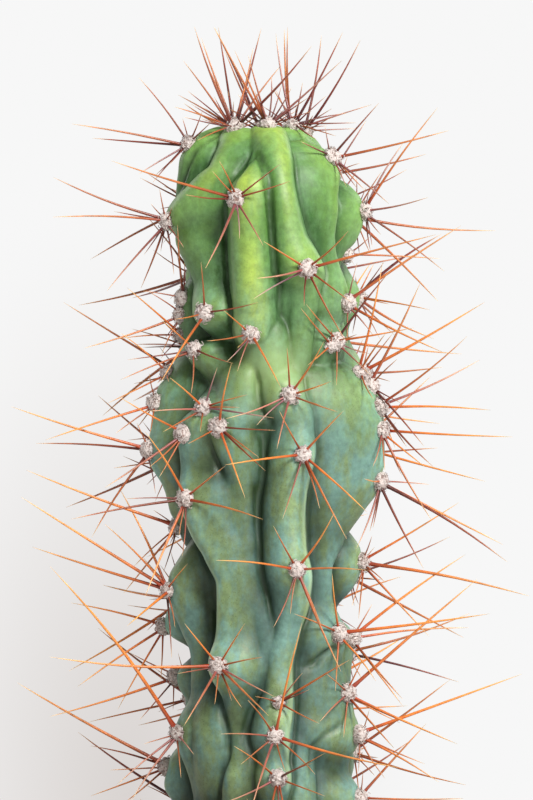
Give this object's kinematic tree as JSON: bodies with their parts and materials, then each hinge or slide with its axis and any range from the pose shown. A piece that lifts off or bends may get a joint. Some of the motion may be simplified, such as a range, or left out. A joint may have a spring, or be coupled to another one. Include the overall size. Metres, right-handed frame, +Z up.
{
  "type": "potted cactus",
  "caption": "Columnar cactus with broken, winding ribs, wool cushions and long spines, standing in the soil of a plain round clay pot.",
  "frame": {"origin": "middle of the pot's foot, on the surface that the pot stands on", "axes": "+Z up along the stem; -Y is the front, the side that the picture shows; +X is to the right seen from the front"},
  "size_m": [0.165, 0.165, 0.41],
  "materials": {
    "terracotta": "plain unglazed fired clay, matt",
    "soil": "dark, gritty potting mix, matt",
    "cactus_skin": "waxy green skin with a pale bluish bloom, half matt",
    "areole_wool": "short felted wool, pale pinkish grey",
    "spine": "hard, smooth and slightly glossy, maroon to orange"
  },
  "bodies": {
    "root": {"pot": "terracotta", "soil": "soil", "cactus_stem": "cactus_skin"}
  },
  "joints": []
}
